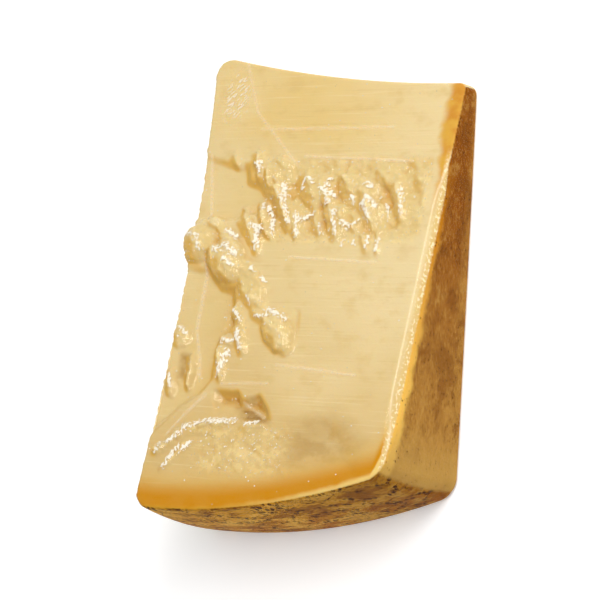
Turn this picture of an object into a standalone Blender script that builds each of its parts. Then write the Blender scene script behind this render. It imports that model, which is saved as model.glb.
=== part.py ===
"""A chunk of hard cheese: a narrow sector cut from one half of a big drum-shaped wheel.

It lies on its lower cut face. Its axes, before the last move to the footprint's centre: X runs along the
wheel's axis, with the wheel's flat rind face near X = 0 and the split through the wheel at -X. The wheel's
axis is the line Y = 0, Z = 0, so the thin tip is near Y = 0 and the heel, with the wheel's side rind, is
the far end at -Y. The lower cut face is Z = 0 and the upper one rises from the axis at CUT_ANGLE.

All sizes are in millimetres until the mesh is written, in metres.
"""

import math

import bmesh
import bpy
import numpy as np

MM = 0.001

# The wheel that the chunk was cut from
WHEEL_RADIUS = 224.2  # at mid height
RIM_DROP = 21.0  # how much smaller the radius is at the flat face: the side is a barrel
HALF_HEIGHT = 105.0  # from the flat face to the wheel's widest circle
CUT_ANGLE = math.radians(15.28)  # between the two cut faces

# The cut-off tip, the split side and the flat face, in plan
TIP_NEAR = 13.5  # distance of the tip from the wheel's axis, on the split side
TIP_FAR = 31.3  # and on the side of the flat face
TIP_BEND = 1.8  # power of the curve between them
SPLIT_AT_TIP = 128.0  # distance of the split from the flat face
SPLIT_AT_HEEL = 112.2
SPLIT_BEND = 85.0  # how soon the split runs straight
FLAT_LEAN = 6.3  # the flat face leans out by this much at its foot, next to the heel
LEAN_GROWS = 0.8  # and less towards the tip: a power of the distance from the wheel's axis

# Rounded and worn edges
EDGE_ROUND = 1.8  # along the two cut faces
TIP_CORNERS = (11.0, 4.5)  # upright corners, on the split side and beside the flat face
HEEL_CORNERS = (7.0, 7.0)
BEVEL = 3.6  # worn edge between the upper cut face and the flat face, across and down
BEVEL_STARTS, BEVEL_GROWN = 54.0, 84.0  # distances from the wheel's axis
BEVEL_FADES, BEVEL_ENDS = 172.0, 205.0

# The lower cut face is slightly crowned: it rests on a flat middle, and its rim is this far off the floor
FOOT_RISE = 0.2
FOOT_CORNERS = ((0.07, 0.05), (0.93, 0.05), (0.93, 0.5), (0.93, 0.94), (0.5, 0.96), (0.07, 0.94), (0.07, 0.5))

# Where the part's origin is: the middle of the footprint
FOOTPRINT_CENTRE = (-61.7, -119.8)

# Grid over the solid. Cells are fine where the cheese is torn and coarser on the smooth cuts.
FINE, COARSE = 2.3, 4.2
TORN_FROM_FLAT = 14.0  # across the upper face, the coarse part beside the flat face
TORN_FROM_TIP = 36.0  # along it, the smooth cut beside the tip
FIRST_CELLS = (1.6, 3.8)  # narrow cells beside every edge
LEVELS = (0.0, 0.04, 0.13, 0.3, 0.5, 0.7, 0.87, 0.96, 1.0)  # upwards, as shares of the thickness
CORE_INSET = 8.0  # the grid's points are cast outwards from a core this far inside

# Smooth hollows of the upper cut face, where a flake came away: corners in plan
FLAKE_ABOVE_LUMPS = (
    (-126, -60), (-108, -65), (-98, -66), (-96, -73), (-89, -75), (-81, -86), (-94, -92), (-126, -92)
)
FLAKE_BELOW_LUMPS = (
    (-124, -112), (-104, -113), (-97, -120), (-90, -121), (-87, -130), (-85, -138), (-91, -145),
    (-90, -161), (-95, -168), (-103, -174), (-124, -198)
)
PIT = ((-88, -166), (-76, -166), (-73, -169), (-65, -167), (-60, -172), (-56, -178), (-73, -179), (-84, -177))
DIP_IN_BAND = ((-61, -81), (-56, -82), (-49, -96), (-55, -95))
DIP_BY_CRESTS = ((-31, -76), (-25, -77), (-20, -86), (-25, -87))
DIP_BY_LAST_LUMP = ((-58, -130), (-55, -131), (-53, -142), (-56, -142))
DIP_BY_SPLIT = ((-110, -150), (-105, -151), (-103, -162), (-108, -160))
BROAD_DIP = ((-46, -180), (-28, -174), (-14, -183), (-14, -195), (-44, -197))

# Each with its depth in the middle, how much it deepens per millimetre towards +X and +Y, and its edge's width
HOLLOWS = (
    (FLAKE_ABOVE_LUMPS, 2.2, 0.07, 0.0, 3.0),
    (FLAKE_BELOW_LUMPS, 3.0, 0.1, 0.0, 3.0),
    (PIT, 3.6, 0.07, 0.5, 3.0),
    (DIP_IN_BAND, 3.0, 0.1, 0.0, 3.0),
    (DIP_BY_CRESTS, 2.2, 0.0, 0.0, 3.0),
    (DIP_BY_LAST_LUMP, 1.2, 0.0, 0.0, 3.0),
    (DIP_BY_SPLIT, 3.0, 0.0, 0.0, 3.0),
    (BROAD_DIP, 1.4, 0.0, 0.0, 9.0),
)

# Crests of torn cheese: from, to, height, width of the side to the right of the way and of the other
CRESTS = (
    # across the face, from the split side to the flat face
    ((-107, -60), (-103, -68), 1.0, 3, 3),
    ((-94, -60), (-90, -74), 2.4, 4, 4),
    ((-86, -65), (-69, -96), 3.7, 7, 4),
    ((-68, -71), (-65, -81), 1.9, 4, 4),
    ((-60, -72), (-52, -86), 3.5, 5, 5),
    ((-53, -84), (-45, -100), 3.3, 6, 4),
    ((-71, -85), (-65, -100), 2.3, 4, 5),
    ((-60, -87), (-53, -99), 1.7, 4, 3),
    ((-47, -86), (-42, -98), 2.0, 4, 4),
    ((-42, -86), (-36, -98), 2.0, 4, 4),
    ((-38, -73), (-30, -95), 3.6, 7, 5),
    ((-33, -95), (-29, -106), 1.2, 3, 3),
    ((-28, -94), (-24, -107), 1.3, 3, 3),
    ((-24, -73), (-16, -92), 2.7, 6, 4),
    ((-12, -71), (-8, -88), 1.2, 4, 4),
    ((-88, -83), (-77, -100), 2.4, 4, 4),
    ((-95, -87), (-82, -106), 2.9, 5, 4),
    # down from the lumps into the face
    ((-92, -110), (-74, -123), 2.3, 6, 4),
    ((-84, -122), (-70, -133), 2.0, 6, 4),
    ((-78, -131), (-67, -137), 2.0, 4, 3),
    ((-88, -130), (-81, -138), 2.2, 4, 5),
    ((-84, -137), (-77, -150), 2.3, 4, 5),
    ((-92, -144), (-82, -146), 1.6, 3, 3),
    ((-91, -146), (-85, -162), 2.2, 3, 5),
    # beside the split
    ((-104, -150), (-101, -166), 1.2, 4, 3),
    # the rim of the pit, and on from it to the split
    ((-99, -184), (-73, -178), 1.7, 4, 3),
    ((-70, -181), (-58, -179), 1.3, 4, 3),
    ((-95, -181), (-109, -194), 1.9, 4, 4),
    ((-91, -186), (-104, -200), 1.2, 3, 3),
)

# Round lumps: centre, half length, half width, turn in degrees, height
LUMPS = (
    (-81, -69, 9, 6, -35, 2.4),
    (-63, -79, 9, 6, -55, 2.8),
    (-44, -79, 9, 6, -50, 2.4),
    (-27, -73, 8, 5, -20, 1.6),
    (-107, -95, 9, 5, -25, 3.0),
    (-113, -102, 9.5, 9, 0, 4.8),
    (-97.5, -108.5, 12.5, 9, -50, 5.8),
    (-81, -121, 13, 6, -52, 2.6),
    (-63, -140, 12, 6.5, -48, 4.4),
    (-112, -143, 6, 5, -20, 1.1),
    (-111, -163, 7, 4, -70, 1.1),
)

# The unevenness of torn cheese: flat chips of this size, turned and stretched along the crests
CHIP_SIZE, CHIP_TURN, CHIP_STRETCH = 5.5, math.radians(-62), 1.6
CHIP_RISE = 1.1
RAGGED_SIZE = 3.0  # smaller chips, which make the crests ragged
CHIP_SHIFT, RAGGED_SHIFT = (1.0, -0.7), (0.4, 0.5)  # how far both kinds push the crests and lumps aside
HOLLOW_SHIFT = 0.3  # and the hollows
CHIP_SCATTER = 0.42  # how far a chip's middle strays from an even grid, as a share of its size
CHIP_SHARPNESS = 22.0  # of the steps between chips
BAND_FLOOR = 1.0  # the band of lumps lies in a trough this deep
ROUGH_SHARE = 0.4  # how torn the rough patch below the pit is
SPLIT_CHIP_SIZE, SPLIT_CHIP_RISE = 14.0, 2.4  # the same, of the split side
SPLIT_FADE = 12.0  # the split side is even beside its edges
SIDE_FOLLOWS = (-0.6, 2.0)  # how far the split side's upper edge sinks and swells with the upper face


def smooth(low, high, value):
    """0 below low, 1 above high, and an even slope between."""
    t = np.clip((value - low) / (high - low), 0.0, 1.0)
    return t * t * (3.0 - 2.0 * t)


# Outline of the wedge: each face as a distance, which is negative inside


def wheel_radius(x):
    return WHEEL_RADIUS - RIM_DROP * ((HALF_HEIGHT + x) / HALF_HEIGHT) ** 2


def tip_distance(x):
    return TIP_FAR - (TIP_FAR - TIP_NEAR) * np.clip(-x / SPLIT_AT_TIP, 0.0, 1.1) ** TIP_BEND


def split_x(y):
    return -SPLIT_AT_HEEL - (SPLIT_AT_TIP - SPLIT_AT_HEEL) * np.exp((y + 2 * TIP_NEAR) / SPLIT_BEND)


def flat_x(y, z):
    height = np.clip(np.arctan2(z, -y) / CUT_ANGLE, 0.0, 1.0)
    return FLAT_LEAN * (1.0 - height) * np.maximum(-y / WHEEL_RADIUS, 0.0) ** LEAN_GROWS


def rounded_join(distances, radius):
    """The distance to a body bounded by all these faces, with its edges rounded."""
    inset = [d + radius for d in distances]
    outside = np.sqrt(sum(np.maximum(d, 0.0) ** 2 for d in inset))
    inside = np.minimum(np.maximum.reduce(inset), 0.0)
    return outside + inside - radius


def wedge(points):
    """Distance from the wedge's smooth outline."""
    x, y, z = points.T
    split = split_x(y) - x
    flat = x - flat_x(y, z)
    tip = y + tip_distance(x)
    heel = np.hypot(y, z) - wheel_radius(x)
    upper = z * math.cos(CUT_ANGLE) + y * math.sin(CUT_ANGLE)
    worn = smooth(BEVEL_STARTS, BEVEL_GROWN, -y) * (1.0 - smooth(BEVEL_FADES, BEVEL_ENDS, -y))
    bevel = (flat + upper + BEVEL * worn) / math.sqrt(2)
    to_flat, to_heel = smooth(-80.0, -40.0, x), smooth(60.0, 160.0, -y)
    at_tip = TIP_CORNERS[0] + (TIP_CORNERS[1] - TIP_CORNERS[0]) * to_flat
    at_heel = HEEL_CORNERS[0] + (HEEL_CORNERS[1] - HEEL_CORNERS[0]) * to_flat
    corner = at_tip + (at_heel - at_tip) * to_heel
    plan = rounded_join([split, flat, tip, heel], corner)
    return np.maximum(rounded_join([plan, upper, FOOT_RISE - z], EDGE_ROUND), bevel)


# Relief of the torn faces


def scattered(i, j, seed):
    """A number from -1 to 1 for each pair of whole numbers, with no visible order."""
    return np.modf(np.sin(i * 127.1 + j * 311.7 + seed * 74.7) * 43758.5453)[0]


def chips(u, v):
    """Height of a surface broken into flat chips, each tilted its own way. One chip is one unit wide."""
    column, row = np.floor(u), np.floor(v)
    total, share = np.zeros(u.shape), np.full(u.shape, 1e-9)
    for di in (-1, 0, 1):
        for dj in (-1, 0, 1):
            i, j = column + di, row + dj
            away_u = u - (i + 0.5 + CHIP_SCATTER * scattered(i, j, 1))
            away_v = v - (j + 0.5 + CHIP_SCATTER * scattered(i, j, 2))
            height = 0.6 * scattered(i, j, 3) + away_u * scattered(i, j, 4) + away_v * scattered(i, j, 5)
            weight = np.exp(-CHIP_SHARPNESS * (away_u**2 + away_v**2))
            total += weight * height
            share += weight
    return total / share


def inside_distance(x, y, corners):
    """How far each point is inside a closed outline with these corners, negative outside it."""
    nearest = np.full(x.shape, np.inf)
    inside = np.zeros(x.shape, bool)
    for (ax, ay), (bx, by) in zip(corners, corners[1:] + corners[:1]):
        along_x, along_y = bx - ax, by - ay
        t = ((x - ax) * along_x + (y - ay) * along_y) / (along_x**2 + along_y**2)
        t = np.clip(t, 0.0, 1.0)
        nearest = np.minimum(nearest, np.hypot(x - ax - t * along_x, y - ay - t * along_y))
        crosses = (ay > y) != (by > y)
        if along_y:
            inside ^= crosses & (x < ax + (y - ay) * along_x / along_y)
    return np.where(inside, nearest, -nearest)


def hollows(x, y):
    """Depth of the smooth hollows and pits."""
    depth = np.zeros(x.shape)
    for corners, deep, tilt_x, tilt_y, edge in HOLLOWS:
        middle_x, middle_y = (sum(parts) / len(corners) for parts in zip(*corners))
        floor = deep + tilt_x * (x - middle_x) + tilt_y * (y - middle_y)
        here = floor * smooth(-edge / 3, edge, inside_distance(x, y, corners))
        depth = np.maximum(depth, here)
    return depth


def along_and_across(x, y, start, end):
    """Place of each point beside the line from start to end: its share of the way, and how far across it
    is, positive to the left of the way."""
    (ax, ay), (bx, by) = start, end
    length = math.hypot(bx - ax, by - ay)
    along_x, along_y = (bx - ax) / length, (by - ay) / length
    along = (x - ax) * along_x + (y - ay) * along_y
    across = (y - ay) * along_x - (x - ax) * along_y
    return along / length, across


def crests(x, y):
    """Height of the sharp crests: each grows out of the face, narrows, and breaks off at its end."""
    height = np.zeros(x.shape)
    for start, end, rise, right, left in CRESTS:
        share, across = along_and_across(x, y, start, end)
        width = np.where(across < 0, right, left) * (1.15 - 0.6 * np.clip(share, 0.0, 1.0))
        grown = smooth(-0.25, 0.35, share) * (1.0 - smooth(0.85, 1.12, share))
        height = np.maximum(height, rise * grown * np.maximum(1.0 - np.abs(across) / width, 0.0) ** 0.85)
    return height


def lumps(x, y):
    """Height of the round lumps, which are steep at their foot."""
    height = np.zeros(x.shape)
    for cx, cy, long_half, wide_half, turn, rise in LUMPS:
        c, s = math.cos(math.radians(turn)), math.sin(math.radians(turn))
        along = ((x - cx) * c + (y - cy) * s) / long_half
        across = ((y - cy) * c - (x - cx) * s) / wide_half
        reach = np.clip(1.0 - along**2 - across**2, 0.0, 1.0)
        height = np.maximum(height, rise * reach**0.6)
    return height


def band(x, y):
    """1 inside the band of torn cheese that crosses the upper cut face."""
    return smooth(-104, -96, y) * smooth(62, 70, -y) * smooth(-90, -80, x) * smooth(4, 14, -x)


def rough(x, y):
    """1 on the rough patch below the pit."""
    return smooth(-204, -196, y) * smooth(176, 184, -y) * smooth(-96, -84, x) * smooth(38, 50, -x)


def upper_relief(x, y):
    """Height of the upper cut face over its plane."""
    c, s = math.cos(CHIP_TURN), math.sin(CHIP_TURN)
    broken = chips((x * c + y * s) / (CHIP_SIZE * CHIP_STRETCH), (y * c - x * s) / CHIP_SIZE)
    ragged = chips(x / RAGGED_SIZE, y / RAGGED_SIZE)
    shifted_x = x + CHIP_SHIFT[0] * broken + RAGGED_SHIFT[0] * ragged
    shifted_y = y + CHIP_SHIFT[1] * broken + RAGGED_SHIFT[1] * ragged
    rise = np.maximum(crests(shifted_x, shifted_y), lumps(shifted_x, shifted_y))
    hollow = hollows(x + HOLLOW_SHIFT * broken, y + HOLLOW_SHIFT * ragged) * (1.0 - smooth(0.0, 2.0, rise))
    deep = smooth(3.0, 5.0, hollow)
    torn = np.maximum.reduce([band(x, y), smooth(0.0, 2.5, rise), deep, ROUGH_SHARE * rough(x, y)])
    return rise - hollow - BAND_FLOOR * band(x, y) + CHIP_RISE * torn * broken


def relief(points, normals):
    """How far each point of the smooth outline moves along its normal."""
    x, y, z = points.T
    upper = smooth(0.25, 0.85, normals @ (0.0, math.sin(CUT_ANGLE), math.cos(CUT_ANGLE)))
    split = smooth(0.3, 0.9, -normals[:, 0])
    top = upper_relief(x, y)
    below = smooth(0.0, SPLIT_FADE, -y * math.tan(CUT_ANGLE) - z)
    broken = SPLIT_CHIP_RISE * chips(y / SPLIT_CHIP_SIZE, z / SPLIT_CHIP_SIZE)
    side = broken * below * smooth(0.0, SPLIT_FADE, z) + np.clip(top, *SIDE_FOLLOWS) * (1.0 - below)
    return upper * top + split * (1.0 - upper) * side


# The solid


def cast(anchors, through):
    """The points where rays from the anchors through these points leave the wedge."""
    reach = through - anchors
    low, high = np.zeros(len(anchors)), np.full(len(anchors), 3.0)
    for _ in range(40):
        middle = (low + high) / 2
        outside = wedge(anchors + middle[:, None] * reach) > 0
        high = np.where(outside, middle, high)
        low = np.where(outside, low, middle)
    return anchors + low[:, None] * reach


def normals_at(points):
    step = 0.02
    slopes = [wedge(points + step * axis) - wedge(points - step * axis) for axis in np.eye(3)]
    slopes = np.stack(slopes, axis=1)
    return slopes / np.linalg.norm(slopes, axis=1)[:, None]


def place(shares):
    """Shares of the way along X, along Y and up, from 0 to 1, as a place in the sharp-edged wedge."""
    across, along, up = shares.T
    angle = up * CUT_ANGLE
    x = (across - 1.0) * SPLIT_AT_HEEL
    for _ in range(4):
        y = -tip_distance(x) - along * (wheel_radius(x) * np.cos(angle) - tip_distance(x))
        z = -y * np.tan(angle)
        x = split_x(y) * (1.0 - across) + flat_x(y, z) * across
    return np.stack([x, y, z], axis=1)


def surface(shares):
    """Points of the finished surface for places on the sharp-edged wedge's surface."""
    thickness = -place(shares)[:, 1] * math.tan(CUT_ANGLE)
    inset_x = np.full(len(shares), CORE_INSET / SPLIT_AT_HEEL)
    inset_y = np.full(len(shares), CORE_INSET / (WHEEL_RADIUS - TIP_FAR))
    inset = np.stack([inset_x, inset_y, np.minimum(0.5, CORE_INSET / thickness)], axis=1)
    outline = cast(place(np.clip(shares, inset, 1.0 - inset)), place(shares))
    normals = normals_at(outline)
    points = outline + relief(outline, normals)[:, None] * normals
    points[:, 2] = np.maximum(points[:, 2], FOOT_RISE)
    return points


def steps(length, turn_at, first_size, second_size):
    """Grid lines along a length, as shares of it: one cell size up to turn_at, another after it, and
    narrow cells at both ends."""
    start, end = FIRST_CELLS[-1], length - FIRST_CELLS[-1]
    first = np.linspace(start, turn_at, round((turn_at - start) / first_size) + 1)
    second = np.linspace(turn_at, end, round((end - turn_at) / second_size) + 1)
    ends = [length - narrow for narrow in reversed(FIRST_CELLS[:-1])]
    lines = [0.0, *FIRST_CELLS[:-1], *first[:-1], *second, *ends, length]
    return np.array(lines) / length


def box_quads(counts):
    """Quads between the grid points on the surface of a box of cells, but only one row of them round the
    foot, and the loop of grid points inside that row."""
    quads = []
    for axis in range(3):
        first, second = (axis + 1) % 3, (axis + 2) % 3
        for side in (0, counts[axis]):
            for i in range(counts[first]):
                for j in range(counts[second]):
                    if axis == 2 and side == 0 and 0 < i < counts[0] - 1 and 0 < j < counts[1] - 1:
                        continue
                    corner = [side] * 3
                    ring = []
                    for di, dj in ((0, 0), (1, 0), (1, 1), (0, 1)):
                        corner[first], corner[second] = i + di, j + dj
                        ring.append(tuple(corner))
                    quads.append(ring)
    last_x, last_y = counts[0] - 1, counts[1] - 1
    rim = [(i, 1, 0) for i in range(1, last_x)] + [(last_x, j, 0) for j in range(1, last_y)]
    rim += [(i, last_y, 0) for i in range(last_x, 1, -1)] + [(1, j, 0) for j in range(last_y, 1, -1)]
    return quads, rim


def add_foot(mesh, rim):
    """The flat middle that the chunk rests on, and the slightly rising surface from it to the rim."""
    corners = place(np.array([(*corner, 0.0) for corner in FOOT_CORNERS]))
    corners[:, :2] -= FOOTPRINT_CENTRE
    corners = [mesh.verts.new(corner * MM) for corner in corners]
    mesh.faces.new(corners)
    nearest = [min(corners, key=lambda corner: (corner.co - vert.co).length) for vert in rim]
    for k, vert in enumerate(rim):
        mesh.faces.new((rim[k - 1], vert, nearest[k - 1]))
        if nearest[k] != nearest[k - 1]:
            mesh.faces.new((nearest[k - 1], vert, nearest[k]))


def cheese_material():
    """Pale straw-coloured paste under a tight clear wrap."""
    made = bpy.data.materials.new("cheese")
    made.use_nodes = True
    shader = made.node_tree.nodes["Principled BSDF"]
    shader.inputs["Base Color"].default_value = (0.80, 0.59, 0.25, 1.0)
    shader.inputs["Roughness"].default_value = 0.35
    return made


def make_cheese():
    lines = (
        steps(SPLIT_AT_HEEL, SPLIT_AT_HEEL - TORN_FROM_FLAT, FINE, COARSE),
        steps(WHEEL_RADIUS - TIP_FAR, TORN_FROM_TIP, COARSE, FINE),
        np.array(LEVELS),
    )
    quads, rim = box_quads([len(line) - 1 for line in lines])
    corners = sorted({corner for quad in quads for corner in quad})
    shares = np.array([[line[k] for line, k in zip(lines, corner)] for corner in corners])
    points = surface(shares)
    points[:, :2] -= FOOTPRINT_CENTRE
    mesh = bmesh.new()
    placed = {corner: mesh.verts.new(point * MM) for corner, point in zip(corners, points)}
    for quad in quads:
        mesh.faces.new([placed[corner] for corner in quad])
    add_foot(mesh, [placed[corner] for corner in rim])
    bmesh.ops.recalc_face_normals(mesh, faces=mesh.faces)
    made = bpy.data.meshes.new("cheese")
    mesh.to_mesh(made)
    mesh.free()
    made.shade_smooth()
    made.materials.append(cheese_material())
    bpy.context.scene.collection.objects.link(bpy.data.objects.new("cheese", made))


def main():
    for old in list(bpy.data.objects):
        bpy.data.objects.remove(old)
    make_cheese()


main()
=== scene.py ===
"""Looks of a chunk of hard cheese in tight clear film: the torn paste with its rind, and the film round it.

Sizes are in millimetres in the wheel's own axes until a mesh is written, in metres, in the shared frame.
X runs along the axis of the wheel that the chunk was cut from, with the wheel's flat rind face near X = 0
and the split through the wheel at -X. The axis is the line Y = 0, Z = 0, so the heel with the wheel's side
rind is the far end at -Y. The lower cut face is Z = 0 and the upper one rises from the axis at CUT_ANGLE.
"""

import math

import bpy
import numpy as np
from mathutils import Matrix, Vector


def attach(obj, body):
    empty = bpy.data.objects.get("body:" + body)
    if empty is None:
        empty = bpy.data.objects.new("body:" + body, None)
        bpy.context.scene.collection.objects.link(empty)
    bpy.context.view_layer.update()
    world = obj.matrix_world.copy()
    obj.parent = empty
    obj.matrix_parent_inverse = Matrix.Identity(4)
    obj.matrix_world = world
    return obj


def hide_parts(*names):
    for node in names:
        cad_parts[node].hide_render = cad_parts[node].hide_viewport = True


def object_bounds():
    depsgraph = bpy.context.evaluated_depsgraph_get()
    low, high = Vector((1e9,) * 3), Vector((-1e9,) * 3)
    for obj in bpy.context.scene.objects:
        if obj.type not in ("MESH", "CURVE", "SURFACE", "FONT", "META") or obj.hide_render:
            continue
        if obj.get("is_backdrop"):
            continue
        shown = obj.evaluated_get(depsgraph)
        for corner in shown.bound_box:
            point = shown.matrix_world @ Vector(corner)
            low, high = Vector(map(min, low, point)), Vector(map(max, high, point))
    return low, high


MM = 0.001
BODY, NODE, SLOT = "root", "cheese", "cheese"

# The camera
LENS, SENSOR = 120.0, 36.0
LOOK_AT, CAMERA_DISTANCE = Vector((1.72, -5.92, 28.0)), 828.28
CAMERA_AZIMUTH, CAMERA_ELEVATION, CAMERA_ROLL = 79.72, 57.20, -76.53

# The wheel that the chunk was cut from
WHEEL_RADIUS = 224.2  # at mid height
RIM_DROP = 21.0  # how much smaller the radius is at the flat face: the side is a barrel
HALF_HEIGHT = 105.0  # from the flat face to the wheel's widest circle
CUT_ANGLE = math.radians(15.28)  # between the two cut faces
FOOTPRINT_CENTRE = (-61.7, -119.8)  # the shared frame's origin

# The cut-off tip, the split side and the flat face, in plan
TIP_NEAR, TIP_FAR = 13.5, 31.3  # distances of the tip from the wheel's axis, by the split and the flat face
TIP_BEND = 1.8
SPLIT_AT_TIP, SPLIT_AT_HEEL = 128.0, 112.2  # distances of the split from the flat face
SPLIT_BEND = 85.0
FLAT_LEAN, LEAN_GROWS = 6.3, 0.8  # the flat face leans out at its foot

# Rounded and worn edges
EDGE_ROUND = 1.8
TIP_CORNERS, HEEL_CORNERS = (11.0, 4.5), 7.0  # radii in plan: at the tip by the split and by the flat face
TIP_CORNERS_CHANGE = (-80.0, -40.0)  # between these X
CORNERS_CHANGE = (60.0, 160.0)  # from the tip's radii to the heel's, between these distances from the axis
BEVEL = 3.6  # of the upper edge along the flat face
BEVEL_GROWS, BEVEL_FADES = (54.0, 84.0), (172.0, 205.0)  # between these distances from the axis

# The grid over both pieces
FINE, COARSE = 0.62, 1.0  # cells of the torn and of the smooth parts
TORN_FROM_FLAT, TORN_FROM_TIP = 14.0, 34.0
FIRST_CELLS = (0.3, 0.7, 1.2, 1.8)  # grid lines next to the edges in plan
SIDE_CELLS = (0.5, 1.1, 1.8, 2.6)  # and next to the upper edge and the foot
SIDE_ROWS = 36
CORE_INSET = 8.0  # the rays that find the surface start this far inside it
RAY_REACH, RAY_HALVINGS = 3.0, 32
PLACE_ROUNDS = 4
NORMAL_STEP = 0.02

# The paste lies this far inside the film, and each stays this far above the floor
PASTE_INSET = 0.35
FILM_FOOT, PASTE_FOOT = 0.0, 0.3

# Smooth hollows of the upper cut face, where a flake came away: corners in plan
FLAKE_ABOVE_LUMPS = (
    (-126, -60), (-108, -65), (-98, -66), (-96, -73), (-89, -75), (-81, -86), (-94, -92), (-126, -92)
)
FLAKE_BELOW_LUMPS = (
    (-124, -112), (-104, -113), (-97, -120), (-90, -121), (-87, -130), (-85, -138), (-91, -145),
    (-90, -161), (-95, -168), (-103, -174), (-124, -198)
)
PIT = ((-88, -166), (-76, -166), (-73, -169), (-65, -167), (-60, -172), (-56, -178), (-73, -179), (-84, -177))
DIP_IN_BAND = ((-61, -81), (-56, -82), (-49, -96), (-55, -95))
DIP_BY_CRESTS = ((-31, -76), (-25, -77), (-20, -86), (-25, -87))
DIP_BY_LAST_LUMP = ((-58, -130), (-55, -131), (-53, -142), (-56, -142))
DIP_BY_SPLIT = ((-110, -150), (-105, -151), (-103, -162), (-108, -160))
BROAD_DIP = ((-46, -180), (-28, -174), (-14, -183), (-14, -195), (-44, -197))
PIT_FLOOR = ((-80, -170), (-66, -169), (-58, -175), (-55, -180), (-70, -180))

# Each with its depth in the middle, how much it deepens per millimetre towards +X and +Y, and the width of
# its edge
HOLLOWS = (
    (FLAKE_ABOVE_LUMPS, 2.2, 0.07, 0.0, 3.0),
    (FLAKE_BELOW_LUMPS, 3.0, 0.1, 0.0, 3.0),
    (PIT, 3.6, 0.07, 0.5, 3.0),
    (DIP_IN_BAND, 3.0, 0.1, 0.0, 3.0),
    (DIP_BY_CRESTS, 2.2, 0.0, 0.0, 3.0),
    (DIP_BY_LAST_LUMP, 1.2, 0.0, 0.0, 3.0),
    (DIP_BY_SPLIT, 3.0, 0.0, 0.0, 3.0),
    (BROAD_DIP, 1.4, 0.0, 0.0, 9.0),
)

# Patches of painted shade in hollows: corners in plan, how far they fade outwards and inwards, and how dark
# they are
PAINTED_SHADE_PATCHES = (
    (BROAD_DIP, 8.0, 6.0, 0.65),
    (PIT_FLOOR, 1.0, 4.0, 1.0),
    (DIP_BY_SPLIT, 2.0, 1.5, 0.9),
)

# Crests of torn paste: from, to, height, width of the side to the right of the way and of the other
CRESTS = (
    # across the face, from the split side to the flat face
    ((-107, -60), (-103, -68), 1.0, 3, 3),
    ((-94, -60), (-90, -74), 2.4, 4, 4),
    ((-86, -65), (-69, -96), 3.7, 7, 4),
    ((-68, -71), (-65, -81), 1.9, 4, 4),
    ((-60, -72), (-52, -86), 3.5, 5, 5),
    ((-53, -84), (-45, -100), 3.3, 6, 4),
    ((-71, -85), (-65, -100), 2.3, 4, 5),
    ((-60, -87), (-53, -99), 1.7, 4, 3),
    ((-47, -86), (-42, -98), 2.0, 4, 4),
    ((-42, -86), (-36, -98), 2.0, 4, 4),
    ((-38, -73), (-30, -95), 3.6, 7, 5),
    ((-33, -95), (-29, -106), 1.2, 3, 3),
    ((-28, -94), (-24, -107), 1.3, 3, 3),
    ((-24, -73), (-16, -92), 2.7, 6, 4),
    ((-12, -71), (-8, -88), 1.2, 4, 4),
    ((-88, -83), (-77, -100), 2.4, 4, 4),
    ((-95, -87), (-82, -106), 2.9, 5, 4),
    # down from the lumps into the face
    ((-92, -110), (-74, -123), 2.3, 6, 4),
    ((-84, -122), (-70, -133), 2.0, 6, 4),
    ((-78, -131), (-67, -137), 2.0, 4, 3),
    ((-88, -130), (-81, -138), 2.2, 4, 5),
    ((-84, -137), (-77, -150), 2.3, 4, 5),
    ((-92, -144), (-82, -146), 1.6, 3, 3),
    ((-91, -146), (-85, -162), 2.2, 3, 5),
    # beside the split
    ((-104, -150), (-101, -166), 1.2, 4, 3),
    # the rim of the pit, and on from it to the split
    ((-99, -184), (-73, -178), 1.7, 4, 3),
    ((-70, -181), (-58, -179), 1.3, 4, 3),
    ((-95, -181), (-109, -194), 1.9, 4, 4),
    ((-91, -186), (-104, -200), 1.2, 3, 3),
)

# Round lumps: centre, half length, half width, turn in degrees, height
LUMPS = (
    (-81, -69, 9, 6, -35, 2.4),
    (-63, -79, 9, 6, -55, 2.8),
    (-44, -79, 9, 6, -50, 2.4),
    (-27, -73, 8, 5, -20, 1.6),
    (-107, -95, 9, 5, -25, 3.0),
    (-113, -102, 9.5, 9, 0, 4.8),
    (-97.5, -108.5, 12.5, 9, -50, 5.8),
    (-81, -121, 13, 6, -52, 2.6),
    (-63, -140, 12, 6.5, -48, 4.4),
    (-112, -143, 6, 5, -20, 1.1),
    (-111, -163, 7, 4, -70, 1.1),
)

# A crest's form, in shares of its way and of its given widths, and how full the two profiles are
CREST_GROWS, CREST_BREAKS = (-0.25, 0.35), (0.85, 1.12)
CREST_WIDTH, CREST_NARROWS = 1.15, 0.6
CREST_PROFILE, LUMP_PROFILE = 0.85, 0.6

# Torn areas in plan: where each begins and is full, from the heel, the tip, the split and the flat face
TORN_BAND = ((-104, -96), (-62, -70), (-90, -80), (-4, -14))
ROUGH_PATCH = ((-204, -196), (-176, -184), (-96, -84), (-38, -50))

# The unevenness of torn paste: flat chips of this size, turned and stretched along the crests
CHIP_SIZE, CHIP_TURN, CHIP_STRETCH = 5.5, math.radians(-62), 1.6
CHIP_RISE = 1.1
RAGGED_SIZE = 3.0  # smaller chips, which make the crests ragged
CHIP_SHIFT, RAGGED_SHIFT = (1.0, -0.7), (0.4, 0.5)  # how far both kinds push the crests and lumps aside
HOLLOW_SHIFT = 0.3  # and the hollows
CHIP_SCATTER = 0.42
CHIP_SHARPNESS = 22.0
CHIP_STEP = 0.6
SCATTER_FACTORS, SCATTER_SIZE = (127.1, 311.7, 74.7), 43758.5453
BAND_FLOOR = 1.0  # the torn band lies this much lower
ROUGH_SHARE = 0.4  # how torn the rough patch below the pit is
TORN_RISE, TORN_DEPTH = (0.0, 2.5), (3.0, 5.0)  # heights and depths over which the paste becomes torn
HOLLOW_ENDS = (0.0, 2.0)  # heights of crests and lumps over which a hollow ends
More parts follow.
